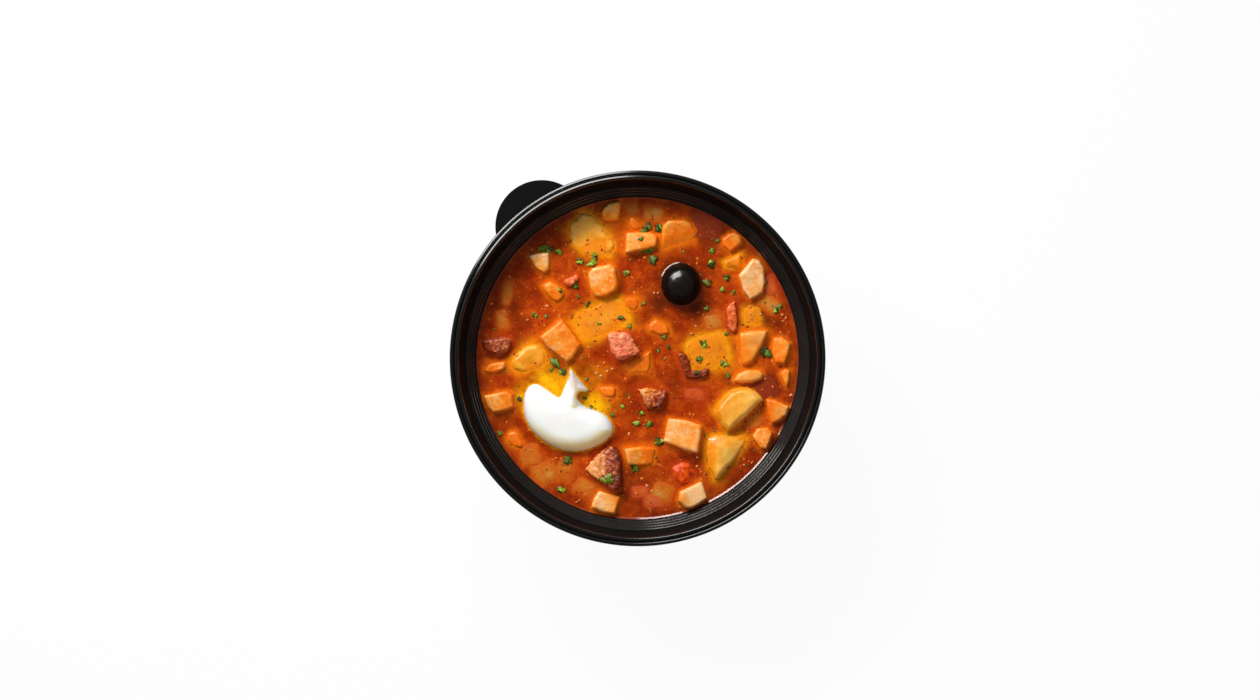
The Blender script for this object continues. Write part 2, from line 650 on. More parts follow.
def broth_colour(graph):
    """The broth's own dark red to orange: broad soft patches, streaks and a fine grain."""
    level = graph.total(
        (graph.noise(8.0, 2.0), 0.46),
        (graph.noise(3.0, 2.0), 0.32),
        (graph.noise(1.0, 2.0, roughness=0.6), 0.22),
    )
    own = graph.ramp(level, [
        (0.34, (0.21, 0.016, 0.001)),
        (0.43, (0.31, 0.027, 0.001)),
        (0.50, (0.40, 0.040, 0.002)),
        (0.57, (0.51, 0.066, 0.003)),
        (0.68, (0.70, 0.135, 0.005)),
    ])
    return graph.mix(graph.attribute("deep", "Fac"), own, DEEP_COLOUR)


def mottled(graph, colour):
    """A stain's colour with the broth's grain in it."""
    fine = graph.noise(1.6, 3.0, roughness=0.55)
    grain = graph.ramp(fine, [(0.36, (0.90, 0.76, 0.6)), (0.58, (1.0, 1.0, 1.0))])
    return graph.mix(1.0, colour, grain, "MULTIPLY")


def soaked(graph, own, kind, tints=SOAK_TINTS):
    """own as the broth leaves it: warmer where it is wet, and the broth's stain at the waterline."""
    share = graph.attribute("wet", "Fac")
    own = graph.mix(graph.attribute("deep", "Fac"), own, DEEP_COLOUR)
    seen = graph.mix(1.0, own, graph.ramp(share, tints), "MULTIPLY")
    drowned = graph.ramp(share, [(0.6, 0.0), (0.85, 0.45), (1.0, 1.0)])
    return graph.mix(drowned, seen, mottled(graph, STAINS[kind]))


def wet(graph, own, roughness, normal, kind, coat=0.15, soft=0.0):
    """A wet food surface that the broth has soaked."""
    return graph.finish(graph.principled(
        Base_Color=soaked(graph, own, kind), Roughness=roughness, Normal=normal,
        Specular_IOR_Level=0.35, Coat_Weight=coat, Coat_Roughness=0.12,
        Subsurface_Weight=soft, Subsurface_Radius=(1.0, 0.45, 0.2), Subsurface_Scale=1.6 * MM,
    ))


def ham_material(name):
    graph = Graph(name)
    streaks = graph.noise(1.3, 2.0, stretch=((0.0, 0.0, 0.5), (0.3, 1.0, 1.0)))
    cloud = graph.noise(4.5, 3.0)
    level = graph.total((graph.attribute("tone", "Fac"), 1.0), (cloud, 1.5), (streaks, 0.9))
    meat = graph.ramp(graph.math("SUBTRACT", level, 1.27), [
        (0.0, (0.92, 0.20, 0.004)),
        (0.3, (0.94, 0.28, 0.014)),
        (0.55, (0.96, 0.37, 0.065)),
        (0.8, (0.98, 0.46, 0.15)),
        (1.0, (0.99, 0.58, 0.27)),
    ])
    pale = graph.ramp(graph.noise(1.7, 2.0), [(0.54, 0.0), (0.7, 0.45)])
    fibre = graph.ramp(graph.noise(0.75, 3.0), [(0.53, 0.0), (0.7, 0.5)])
    pores = graph.ramp(graph.noise(0.5, 1.0), [(0.67, 0.0), (0.77, 0.6)])
    meat = graph.mix(pale, meat, (1.0, 0.68, 0.38))
    meat = graph.mix(fibre, meat, (0.80, 0.22, 0.05))
    meat = graph.mix(pores, meat, (0.36, 0.12, 0.02))
    rough = graph.ramp(graph.noise(1.2, 2.0), [(0.3, 0.3), (0.7, 0.5)])
    relief = graph.bump(graph.noise(0.6, 3.0), 0.13)
    return wet(graph, meat, rough, relief, name, coat=0.25, soft=0.35)


def fibrous_material(name):
    """Cured or smoked meat: strands of fibre with dark seams between them."""
    graph = Graph(name)
    (groove, flesh, fibre), dark_share, strand_depth = FIBROUS[name]
    strands = graph.noise(0.55, 3.0, stretch=((0.0, 0.0, 0.9), (0.35, 1.0, 1.0)))
    lumps = graph.noise(2.0, 4.0, roughness=0.7)
    level = graph.total((graph.attribute("tone", "Fac"), 0.55), (strands, 0.45), (lumps, 0.55))
    meat = graph.ramp(graph.math("SUBTRACT", level, 0.275), [
        (dark_share - 0.12, groove),
        (dark_share + 0.03, flesh),
        (dark_share + 0.2, fibre),
    ])
    rough = graph.ramp(strands, [(0.3, 0.35), (0.7, 0.6)])
    return wet(graph, meat, rough, graph.bump(strands, strand_depth), name, coat=0.4)


def potato_material(name):
    graph = Graph(name)
    level = graph.total((graph.attribute("tone", "Fac"), 1.0), (graph.noise(5.0, 4.0), 1.0))
    flesh = graph.ramp(graph.math("SUBTRACT", level, 0.5), [
        (0.15, (0.58, 0.20, 0.010)),
        (0.4, (0.78, 0.31, 0.018)),
        (0.65, (0.90, 0.41, 0.035)),
        (0.9, (0.94, 0.52, 0.11)),
    ])
    grain = graph.ramp(graph.noise(0.7, 3.0), [(0.56, 0.0), (0.72, 0.4)])
    flesh = graph.mix(grain, flesh, (0.62, 0.26, 0.03))
    rough = graph.ramp(graph.noise(1.4, 2.0), [(0.3, 0.28), (0.7, 0.55)])
    relief = graph.bump(graph.noise(0.6, 3.0), 0.08)
    return wet(graph, flesh, rough, relief, name, coat=0.25, soft=0.5)


def sausage_material():
    graph = Graph("sausage")
    meat = graph.ramp(graph.noise(4.0, 3.0), [
        (0.3, (0.88, 0.28, 0.03)),
        (0.5, (0.94, 0.37, 0.07)),
        (0.7, (0.96, 0.45, 0.12)),
    ])
    grain = graph.ramp(graph.noise(0.6, 2.0), [(0.62, 0.0), (0.76, 0.5)])
    meat = graph.mix(grain, meat, (0.78, 0.22, 0.04))
    relief = graph.bump(graph.noise(0.5, 2.0), 0.06)
    return wet(graph, meat, 0.36, relief, "sausage", coat=0.4, soft=0.35)


def tomato_material():
    graph = Graph("tomato")
    flesh = graph.ramp(graph.noise(2.0, 3.0), [
        (0.35, (0.38, 0.028, 0.003)),
        (0.52, (0.74, 0.10, 0.004)),
        (0.7, (0.88, 0.21, 0.012)),
    ])
    relief = graph.bump(graph.noise(0.7, 3.0), 0.2)
    return wet(graph, flesh, 0.4, relief, "tomato", coat=0.1, soft=0.4)


def scattered_material(name, cell, shades, roughness, grain, depth, gloss):
    """Small things that carry their own colour."""
    graph = Graph(name)
    shade = graph.ramp(graph.noise(cell, 2.0), shades)
    return graph.finish(graph.principled(
        Base_Color=graph.mix(1.0, graph.attribute("own", "Color"), shade, "MULTIPLY"),
        Roughness=roughness, Normal=graph.bump(graph.noise(grain, 2.0), depth), Specular_IOR_Level=gloss,
    ))


def bits_material():
    return scattered_material("bits", 0.6, [(0.3, 0.75), (0.7, 1.15)], 0.35, 0.4, 0.1, 0.15)


def parsley_material():
    return scattered_material("parsley", 0.5, [(0.35, 0.7), (0.65, 1.25)], 0.38, 0.5, 0.12, 0.4)


def cream_material():
    graph = Graph("sour_cream")
    milk = graph.ramp(graph.noise(9.0, 2.0), [(0.3, (0.97, 0.95, 0.86)), (0.7, (0.99, 0.98, 0.93))])
    warm = graph.mix(1.0, milk, (1.0, 0.77, 0.5), "MULTIPLY")
    milk = graph.mix(graph.attribute("tone", "Fac"), milk, warm)
    return graph.finish(graph.principled(
        Base_Color=soaked(graph, milk, "sour_cream", CREAM_TINTS), Roughness=0.42,
        Normal=graph.bump(graph.noise(3.0, 2.0), 0.15),
        Specular_IOR_Level=0.4, Subsurface_Weight=1.0, Subsurface_Radius=(1.0, 0.8, 0.5),
        Subsurface_Scale=9.0 * MM,
    ))


def olive_material():
    graph = Graph("olive")
    skin = graph.ramp(graph.noise(2.5, 3.0), [
        (0.3, (0.004, 0.003, 0.0025)),
        (0.7, (0.010, 0.006, 0.004)),
    ])
    rough = graph.ramp(graph.noise(0.9, 2.0), [(0.35, 0.16), (0.65, 0.28)])
    facing = graph.add("ShaderNodeLayerWeight", {"Blend": 0.5}).outputs["Facing"]
    return graph.finish(graph.principled(
        Base_Color=skin, Roughness=rough, Normal=graph.bump(graph.noise(1.0, 2.0), 0.05),
        Specular_IOR_Level=graph.ramp(facing, [(0.14, 0.9), (0.3, 0.03)]),
    ))


def broth_material(name, gloss, ripple):
    """The broth's wet surface, coloured by what lies in it or beside it."""
    graph = Graph(name)
    stain = mottled(graph, graph.attribute("own", "Color"))
    seen = graph.mix(graph.attribute("wet", "Fac"), broth_colour(graph), stain)
    ripples = graph.bump(graph.noise(1.4, 3.0), ripple)
    rough = graph.ramp(graph.noise(2.0, 3.0), [(0.35, 0.05), (0.65, 0.14)])
    return graph.finish(graph.principled(
        Base_Color=seen, Roughness=rough, Normal=ripples, Specular_IOR_Level=gloss,
        Subsurface_Weight=0.35, Subsurface_Radius=(1.0, 0.3, 0.1), Subsurface_Scale=1.5 * MM,
    ))


def plastic_material(name, roughness, gloss):
    """Black plastic, a little rougher in large faint patches."""
    graph = Graph(name)
    worn = graph.ramp(graph.noise(14.0, 3.0), [(0.35, roughness), (0.7, roughness + 0.1)])
    return graph.finish(graph.principled(
        Base_Color=PLASTIC_COLOUR, Roughness=worn, Specular_IOR_Level=gloss,
        Normal=graph.bump(graph.noise(0.7, 2.0), 0.012),
    ))


# ---- the bowl ----
def wall_radius(height):
    return SOUP_RADIUS + (height - WATERLINE) * WALL_FLARE


def bend(start, corner, end, steps):
    """Points of a smooth bend from start to end that heads for corner."""
    share = np.linspace(0, 1, steps + 1)[:, None]
    start, corner, end = map(np.array, (start, corner, end))
    return (1 - share) ** 2 * start + 2 * share * (1 - share) * corner + share**2 * end


def inner_wall():
    floor = WALL
    top = floor + CORNER_HEIGHT
    corner = (wall_radius(floor), floor)
    lower = bend((corner[0] - CORNER_HEIGHT, floor), corner, (wall_radius(top), top), 8)
    heights = np.linspace(top, FIRST_RIB, 12)[1:-1]
    upper = np.stack([wall_radius(heights), heights], -1)
    return np.vstack([[(0.0, floor)], lower, upper])


def rib_points():
    """A rounded rib per pitch, running round the wall just above the soup."""
    span = RIB_COUNT * RIB_PITCH
    along = np.linspace(0, span, RIB_COUNT * 8 + 1)
    heights = FIRST_RIB + along
    bump = 0.5 - 0.5 * np.cos(2 * np.pi * along / RIB_PITCH)
    return np.stack([wall_radius(heights) - RIB_REACH * bump**1.5, heights], -1)


def bead(middle, start, stop):
    """A rounded edge of the rim with a narrow flat that faces outward and up."""
    degrees = np.concatenate([np.linspace(start, FLAT_TOP, 6), np.linspace(FLAT_FOOT, stop, 4)])
    round_points = BEAD_RADIUS * around(np.radians(degrees)) + (middle, BOWL_HEIGHT - BEAD_RADIUS)
    top, foot = round_points[5], round_points[6]
    flat_points = [0.9 * top + 0.1 * foot, 0.1 * top + 0.9 * foot]
    return np.vstack([round_points[:6], flat_points, round_points[6:]])


def rim_points():
    inner = BAND_TOP_RADIUS + BEAD_RADIUS
    outer = RIM_RADIUS - BEAD_RADIUS
    groove = [((inner + outer) / 2, BOWL_HEIGHT - GROOVE_DEPTH)]
    return np.vstack([bead(inner, 180, 40), groove, bead(outer, 140, 0)])


def outer_wall():
    skirt = BOWL_HEIGHT - SKIRT_DROP
    under = BOWL_HEIGHT - BEAD_RADIUS - WALL
    top = CORNER_HEIGHT
    edge = RIM_RADIUS - SKIRT_WALL
    lip = bend((RIM_RADIUS, skirt + 0.45), (RIM_RADIUS, skirt), (RIM_RADIUS - 0.45, skirt), 3)
    inside = [(edge, skirt), (edge, under), (BAND_TOP_RADIUS + WALL, under)]
    inside.append((BAND_BOTTOM_RADIUS + WALL, BAND_BOTTOM))
    foot = bend((wall_radius(top) + WALL, top), (wall_radius(0) + WALL, 0), (BASE_RADIUS, 0), 8)
    return np.vstack([lip, inside, foot, [(0.0, 0.0)]])


def turned(profile, steps):
    """A closed body of revolution from (radius, height) points that start and end on the axis."""
    angle = np.arange(steps) * 2 * np.pi / steps
    ring = profile[1:-1]
    x = ring[:, None, 0] * np.cos(angle)
    y = ring[:, None, 0] * np.sin(angle)
    z = np.broadcast_to(ring[:, None, 1], x.shape)
    tips = [(0, 0, profile[0][1]), (0, 0, profile[-1][1])]
    points = np.vstack([np.stack([x, y, z], -1).reshape(-1, 3), tips])
    last = (len(ring) - 1) * steps
    faces = fan_faces(len(points) - 2, 0, steps) + fan_faces(len(points) - 1, last, steps, flip=True)
    for low in range(0, last, steps):
        faces += loop_faces(low, low + steps, steps)
    return points, faces


def tab_shell():
    """The flat lifting tab: a round plate with rounded edges, cut off inside the rim's skirt."""
    middle = TAB_CENTRE * around(TAB_ANGLE)
    start = RIM_RADIUS - SKIRT_WALL / 2
    reach = (TAB_CENTRE**2 + start**2 - TAB_RADIUS**2) / (2 * TAB_CENTRE * start)
    half = math.acos(reach)
    corner = start * around(TAB_ANGLE + half) - middle
    open_angle = math.acos(np.dot(corner, -middle) / np.linalg.norm(corner) / TAB_CENTRE)
    outer = TAB_ANGLE + np.linspace(-(math.pi - open_angle), math.pi - open_angle, 64)
    inner = TAB_ANGLE + np.linspace(half, -half, 40)[1:-1]
    low = BOWL_HEIGHT - SKIRT_DROP + TAB_LIFT
    high = low + TAB_THICKNESS
    rows = []
    for inset, height in ((0.3, low), (0.0, low + 0.3), (0.0, high - 0.3), (0.3, high)):
        arc = middle + (TAB_RADIUS - inset) * around(outer)
        rows.append(flat(np.vstack([arc, start * around(inner)]), height))
    count = len(rows[0])
    faces = [tuple(range(count))[::-1], tuple(range(3 * count, 4 * count))]
    for row in range(3):
        faces += loop_faces(row * count, (row + 1) * count, count, flip=True)
    return np.vstack(rows), faces


def make_bowl():
    band = [(BAND_BOTTOM_RADIUS, BAND_BOTTOM)]
    profile = np.vstack([inner_wall(), rib_points(), band, rim_points(), outer_wall()])
    points, faces = turned(profile, BOWL_STEPS)
    tab_points, tab_faces = tab_shell()
    faces += [tuple(corner + len(points) for corner in face) for face in tab_faces]
    mesh = mesh_of("bowl_fine", np.vstack([points, tab_points]), faces)
    plain, ribbed, rim = (plastic_material(*look) for look in PLASTICS)
    stand_in("bowl", mesh, plain, "black_plastic")
    mesh.materials.append(ribbed)
    mesh.materials.append(rim)
    mesh.set_sharp_from_angle(angle=math.radians(40))
    for polygon in mesh.polygons:
        radius = math.hypot(polygon.center.x, polygon.center.y) / MM
        height = polygon.center.z / MM
        on_rim = BAND_TOP_RADIUS < radius < RIM_RADIUS and height > BOWL_HEIGHT - 2 * BEAD_RADIUS
        on_ribs = WATERLINE < height < BAND_BOTTOM and radius < BAND_BOTTOM_RADIUS
        polygon.material_index = 2 if on_rim else int(on_ribs)


# ---- pieces of food ----
def fibres(points, angle, cell, seed):
    """Noise drawn out along a level direction."""
    along, across = rotated(points[:, 0], points[:, 1], -angle)
    return noise(np.column_stack([along / 5, across, points[:, 2] * 0.7]), cell, seed)


def relief(points, kind, seed):
    """How far the uneven surface of a kind of food stands out at each point."""
    _, strands, layers = RELIEFS[kind]
    if not strands:
        return layered(points, layers, seed)
    return strands * fibres(points, 0.9 + seed, FIBRE_CELL, seed) + layered(points, layers, seed + 1)


def sinks(name):
    """Whether a piece in the frame hardly stands out of the broth."""
    return len(LOOKS[name]) > 5


def fine_food(mesh, kind, seed, softer):
    """A block of food with rounded edges and the relief of its kind."""
    fine = remeshed(mesh, VOXEL)
    points = smoothed(points_of(fine), edges_of(fine), RELIEFS[kind][0] + softer)
    set_points(fine, points)
    set_points(fine, kept_inside(points + normals_of(fine) * relief(points, kind, seed)[:, None]))
    return fine


def kept_inside(points):
    """The points moved in so that they reach just into the bowl's wall and no further."""
    limit = wall_radius(points[:, 2]) + BROTH_EDGE - SOUP_RADIUS
    inward = np.minimum(1, limit / np.hypot(points[:, 0], points[:, 1]))
    return points * np.column_stack([inward, inward, np.ones(len(points))])


def make_cut_pieces(materials):
    """A fine piece for every cut piece in the frame."""
    made = []
    slots = {entry["node"]: entry["material_slot"] for entry in frame["record"]["subparts"]}
    for seed, name in enumerate(sorted(frame["nodes"])):
        slot = slots[name]
        if slot not in RELIEFS:
            continue
        softer = SINKING_ROUNDS[slot] if sinks(name) else 0
        mesh = fine_food(frame["nodes"][name].data.copy(), slot, 10 * seed, softer)
        set_look(mesh, 10 * seed, *LOOKS[name])
        made.append(stand_in(name, mesh, materials[slot], slot))
    return made


def block_mesh(middle, top, size, turn, seed):
    """A cut block under the surface, its corners a little out of square."""
    local = np.array(list(itertools.product((-0.5, 0.5), repeat=3)))
    local[:, :2] += 0.10 * np.array([noise(local * 7, 1.0, seed + axis) for axis in range(2)]).T
    local = local * np.array(size)
    x, y = rotated(local[:, 0], local[:, 1], math.radians(turn))
    points = np.column_stack([x + middle[0], y + middle[1], local[:, 2] + top - local[:, 2].max()])
    faces = [(0, 1, 3, 2), (4, 6, 7, 5), (0, 4, 5, 1), (2, 3, 7, 6), (0, 2, 6, 4), (1, 5, 7, 3)]
    return mesh_of("block", points, faces)


def domed(points, middle, size, turn, seed):
    """The points drawn down towards the piece's edges, and its outline made uneven."""
    along, across = rotated(points[:, 0] - middle[0], points[:, 1] - middle[1], -math.radians(turn))
    moved = points.copy()
    moved[:, 0] += 0.6 * noise(points, 5.0, seed + 5)
    moved[:, 1] += 0.6 * noise(points, 5.0, seed + 6)
    moved[:, 2] -= SUNK_DROP * ((2 * along / size[0])**4 + (2 * across / size[1])**4)**0.75
    return moved


def make_sunk_piece(kind, middle, size, turn, plain, seed, material):
    """A piece whose upper side only just shows through a skin of broth."""
    block = block_mesh(middle, WATERLINE + SUNK_RISE, (*size, SUNK_THICKNESS), turn, seed)
    mesh = remeshed(block, VOXEL)
    points = smoothed(points_of(mesh), edges_of(mesh), SUNK_ROUNDS)
    points = domed(points, middle, size, turn, seed)
    points[:, 2] += WATERLINE + SUNK_RISE - points[:, 2].max()
    points = kept_inside(points)
    set_points(mesh, points)
    above = (points[:, 2] - WATERLINE) / SUNK_RISE
    tone, shade = SUNK_LOOKS[kind]
    set_numbers(mesh, "tone", tone)
    set_numbers(mesh, "deep", shade)
    patchy = 1 + 0.5 * noise(points, 3.0, seed + 7)
    set_numbers(mesh, "wet", np.clip(1 - plain * patchy * np.clip(above, 0, 1) ** 1.4, 0, 1))
    return new_object("sunk_" + kind, mesh, material, kind)


def make_sunk_pieces(materials):
    made = []
    for index, (kind, *shape, _) in enumerate(SUNK):
        made.append(make_sunk_piece(kind, *shape, SUNK_SEED + 10 * index, materials[kind]))
    return made


def make_olive(material):
    mesh = remeshed(frame["nodes"]["olive"].data.copy(), OLIVE_VOXEL)
    points = smoothed(points_of(mesh), edges_of(mesh), OLIVE_ROUNDS)
    low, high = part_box("olive")
    middle = np.array((low + high) / 2) / MM
    half = np.array((high - low) / 2) / MM
    points = middle + (points - middle) * (half / np.abs(points - middle).max(0)) * 0.995
    set_points(mesh, points)
    return stand_in("olive", mesh, material, "olive")


# ---- the cream ----
def to_segment(points, a, b):
    """How far along a segment (0 to 1) the place nearest to each point is, and the way from there."""
    along = b - a
    share = np.clip((points - a) @ along / (along @ along), 0, 1)
    return share, points - a - share[:, None] * along


def signed_distance(points, outline):
    """Distance from each point to a closed outline, positive inside it."""
    nearest = np.full(len(points), np.inf)
    inside = np.zeros(len(points), bool)
    for a, b in zip(outline, np.roll(outline, -1, 0)):
        away = to_segment(points, a, b)[1]
        nearest = np.minimum(nearest, np.hypot(*away.T))
        spans = (a[1] > points[:, 1]) != (b[1] > points[:, 1])
        across, up = b - a
        crossing = a[0] + (points[:, 1] - a[1]) * across / (up if up else 1e-9)
        inside ^= spans & (points[:, 0] < crossing)
    return np.where(inside, nearest, -nearest)


def rounded_loop(loop):
    """The closed loop with its corners cut three times over."""
    for _ in range(3):
        after = np.roll(loop, -1, 0)
        loop = np.stack([0.75 * loop + 0.25 * after, 0.25 * loop + 0.75 * after], 1).reshape(-1, 2)
    return loop


def ridge_height(points):
    """The cream's drawn-up peak: a narrow ridge that falls away gently on its right."""
    line = np.array([seen_at(pixel) for pixel in CREAM_RIDGE_SEEN])
    best = np.zeros(len(points))
    pieces = len(line) - 1
    for index, (a, b) in enumerate(zip(line, line[1:])):
        share, away = to_segment(points, a, b)
        across, up = b - a
        right = away[:, 0] * up - away[:, 1] * across < 0
        down = (index + share) / pieces
        left_width, right_width = (tip + more * down for tip, more in (PEAK_LEFT, PEAK_RIGHT))
        distance = np.hypot(*away.T) / np.where(right, right_width, left_width)
        best = np.maximum(best, (PEAK_RISE - PEAK_FALL * down) * np.exp(-(distance**2)))
    return best


def cream_height(points):
    """The cream above the waterline, and how gently it goes on under the broth beside it."""
    outline = rounded_loop(np.array([seen_at(pixel) for pixel in CREAM_OUTLINE_SEEN]))
    inside = signed_distance(points, outline)
    share = np.clip(inside / CREAM_SHOULDER, 0, 1)
    dome = CREAM_RISE * np.sqrt(1 - (1 - share) ** 2)
    peak = ridge_height(points) * np.clip(inside / PEAK_EDGE, 0, 1)
    sway = 0.25 * noise(flat(points), 8.0, 91) * share
    return WATERLINE + np.where(inside > 0, np.maximum(dome, peak) + sway, inside * CREAM_SLOPE)


def height_body(name, height, low, high, step, floor):
    """A closed body under a height given over the plane, wherever that is above the floor."""
    xs = np.arange(low[0], high[0], step)
    ys = np.arange(low[1], high[1], step)
    plan = np.stack(np.meshgrid(xs, ys, indexing="ij"), -1).reshape(-1, 2)
    rise = height(plan).reshape(len(xs), len(ys))
    beside = rise[:-2, 1:-1] + rise[2:, 1:-1] + rise[1:-1, :-2] + rise[1:-1, 2:]
    rise[1:-1, 1:-1] = 0.5 * rise[1:-1, 1:-1] + 0.125 * beside
    rise = rise.ravel()
    quads = grid_quads(np.arange(len(plan)).reshape(len(xs), len(ys)))
    quads = quads[(rise[quads] > floor).all(1)]
    used = np.unique(quads)
    place = np.zeros(len(plan), int)
    place[used] = np.arange(len(used))
    quads = place[quads]
    count = len(used)
    points = np.vstack([np.column_stack([plan[used], rise[used]]), flat(plan[used], floor)])
    edges = np.concatenate([quads[:, [side, (side + 1) % 4]] for side in range(4)])
    rim = edges[~np.isin(edges @ (count, 1), edges[:, ::-1] @ (count, 1))]
    walls = np.column_stack([rim[:, 1], rim[:, 0], rim[:, 0] + count, rim[:, 1] + count])
    return mesh_of(name, points, np.vstack([quads, quads[:, ::-1] + count, walls]).tolist())


def make_cream(material):
    low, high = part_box("sour_cream")
    low = np.array(low)[:2] / MM - CREAM_MARGIN
    high = np.array(high)[:2] / MM + CREAM_MARGIN
    mesh = height_body("sour_cream_fine", cream_height, low, high, CREAM_STEP, WATERLINE - CREAM_DEPTH)
    above = points_of(mesh)[:, 2] - WATERLINE
    set_numbers(mesh, "wet", np.clip(1 - above / CREAM_SOAK, 0, 1))
    shade = normals_of(mesh) @ CREAM_SHADE_SIDE
    set_numbers(mesh, "tone", np.clip((shade - 0.03) / 0.4, 0, 1))
    return stand_in("sour_cream", mesh, material, "sour_cream")


# ---- the broth's surface ----
def waterline_points(pieces, steepest=1.0):
    """Where the pieces' surfaces cross the waterline, at sides up to that much of level."""
    found = []
    for piece in pieces:
        points = points_of(piece.data)
        level = normals_of(piece.data)[:, 2]
        first, second = edges_of(piece.data).T
        height = points[:, 2] - WATERLINE
        crosses = (height[first] * height[second] < 0) & (level[first] < steepest)
        a, b = points[first[crosses]], points[second[crosses]]
        share = (WATERLINE - a[:, 2]) / (b[:, 2] - a[:, 2])
        found.append((a + (b - a) * share[:, None])[::2, :2])
    return np.vstack(found)


def distance_to(points, targets, batch=2000):
    """The distance from each point to the nearest target, worked out a batch at a time."""
    nearest = np.empty(len(points))
    for start in range(0, len(points), batch):
        part = points[start:start + batch, None, :] - targets[None, :, :]
        nearest[start:start + batch] = np.sqrt((part**2).sum(-1).min(1))
    return nearest


def surface_height(points, steep_edges):
    """The broth's surface: level, and drawn up a little at steep sides."""
    climb = CLIMB * np.exp(-distance_to(points, steep_edges) / CLIMB_REACH)
    return WATERLINE + climb + layered(flat(points), BROTH_SWAY, SWAY_SEED)


def stain_at(points, sources):
    """How strongly what lies near colours the broth at each place, and in which colour."""
    clear = np.ones(len(points))
    weight = np.full(len(points), 1e-6)
    colour = np.zeros((len(points), 3))
    patchy = 1.0 + layered(flat(points), STAIN_PATCHES, PATCH_SEED)
    for outline, own, reach in sources:
        margin = 4 * reach
        near = ((points > outline.min(0) - margin) & (points < outline.max(0) + margin)).all(1)
        near = np.flatnonzero(near)
        share = np.exp(-((distance_to(points[near], outline) / (reach * patchy[near])) ** 1.3))
        clear[near] *= 1 - share
        weight[near] += share**2
        colour[near] += np.outer(share**2, own)
    return 1 - clear, colour / weight[:, None]


def deep_at(points):
    """Where the broth is dark: close to the wall and in the open places of the photograph."""
    to_wall = np.maximum(SOUP_RADIUS - np.hypot(*points.T), 0)
    deep = WALL_SHADE * np.exp(-to_wall / WALL_SHADE_REACH)
    for pixel, reach, share in DEEP_SEEN:
        away = np.hypot(*(points - seen_at(pixel)).T) / reach
        deep = np.maximum(deep, share * np.exp(-(away**2)))
    return np.clip(deep * (1 + 0.5 * noise(flat(points), 3.0, 77)), 0, 0.95)


def stain_sources(cut_pieces, sunk_pieces, cream, olive):
    """Outlines at the waterline, each with its stain and how far that spreads."""
    sources = []
    for piece in cut_pieces:
        name = piece.name.removesuffix("_fine")
        kind = next((kind for kind in STAINING if name.startswith(kind)), "gammon")
        reach = SINKING_STAIN if sinks(name) else PIECE_STAIN
        sources.append((waterline_points([piece]), STAINS[kind], reach))
    for piece, (kind, *_, reach) in zip(sunk_pieces, SUNK):
        sources.append((waterline_points([piece]), STAINS["sunk_" + kind], reach))
    sources.append((waterline_points([cream]), STAINS["sour_cream"], CREAM_STAIN))
    sources.append((waterline_points([olive]), STAINS["olive"], OLIVE_STAIN))
    for pixel, reach in CREAM_POOLS_SEEN:
        sources.append((np.array([seen_at(pixel)]), STAINS["sour_cream"], reach))
    return sources


def set_stains(mesh, sources):
    plan = points_of(mesh)[:, :2]
    share, colour = stain_at(plan, sources)
    set_numbers(mesh, "wet", share)
    set_numbers(mesh, "deep", deep_at(plan))
    set_colours(mesh, colour)


def make_broth(material, steep_edges, sources):
    top, faces, rim = disc_grid(BROTH_STEPS, BROTH_EDGE)
    count = len(top)
    low = WATERLINE - BROTH_DEPTH
    narrowing = (wall_radius(low) + BROTH_EDGE - SOUP_RADIUS) / BROTH_EDGE
    foot = flat(top[rim] * narrowing, low)
    below = count + np.arange(len(rim))
    ring = np.stack([rim, below, np.roll(below, -1), np.roll(rim, -1)], -1)
    faces = [tuple(face) for face in np.vstack([faces, ring])] + [tuple(below[::-1])]
    surface = np.column_stack([top, surface_height(top, steep_edges)])
    mesh = mesh_of("broth_fine", np.vstack([surface, foot]), faces)
    set_stains(mesh, sources)
    return stand_in("broth", mesh, material, "broth")


def ordered_outline(points, steps):
    """A closed outline round its middle at even angles."""
    middle = (points.min(0) + points.max(0)) / 2
    away = points - middle
    angle = np.arctan2(away[:, 1], away[:, 0])
    order = np.argsort(angle)
    even = np.linspace(-np.pi, np.pi, steps, endpoint=False)
    reach = np.interp(even, angle[order], np.hypot(*away.T)[order], period=2 * np.pi)
    reach = 0.25 * np.roll(reach, 1) + 0.5 * reach + 0.25 * np.roll(reach, -1)
    return middle, around(even), reach


def make_collar(name, middle, direction, reach, side, shape, material, sources):
    """The broth drawn up along an outline: a narrow ring, steepest there and level further away."""
    width, slope = shape
    steps = np.linspace(-COLLAR_OVERLAP, width, COLLAR_ROWS)
    heights = [WATERLINE - 0.1]
    for away in steps[:0:-1]:
        rise = slope * min(1.0, 2.0 * (1 - max(away, 0) / width))
        heights.append(heights[-1] + (steps[1] - steps[0]) * rise)
    rows = []
    for away, height in zip(steps, heights[::-1]):
        plan = np.array(middle) + direction * (reach + side * away)[:, None]
        rows.append(flat(plan, height))
    count = len(direction)
    faces = []
    for row in range(len(steps) - 1):
        faces += loop_faces(row * count, (row + 1) * count, count, flip=side < 0)
    mesh = mesh_of(name, np.vstack(rows), faces)
    set_stains(mesh, sources)
    return new_object(name, mesh, material, "broth")


def make_collars(material, olive, sources):
    """Where the broth clings to the olive and to the bowl's wall."""
    middle, direction, reach = ordered_outline(waterline_points([olive]), OLIVE_COLLAR_STEPS)
    make_collar("olive_collar", middle, direction, reach, 1, OLIVE_COLLAR, material, sources)
    direction = around(np.arange(WALL_COLLAR_STEPS) * 2 * np.pi / WALL_COLLAR_STEPS)
    reach = np.full(WALL_COLLAR_STEPS, SOUP_RADIUS + 0.1)
    make_collar("wall_collar", (0, 0), direction, reach, -1, WALL_COLLAR, material, sources)


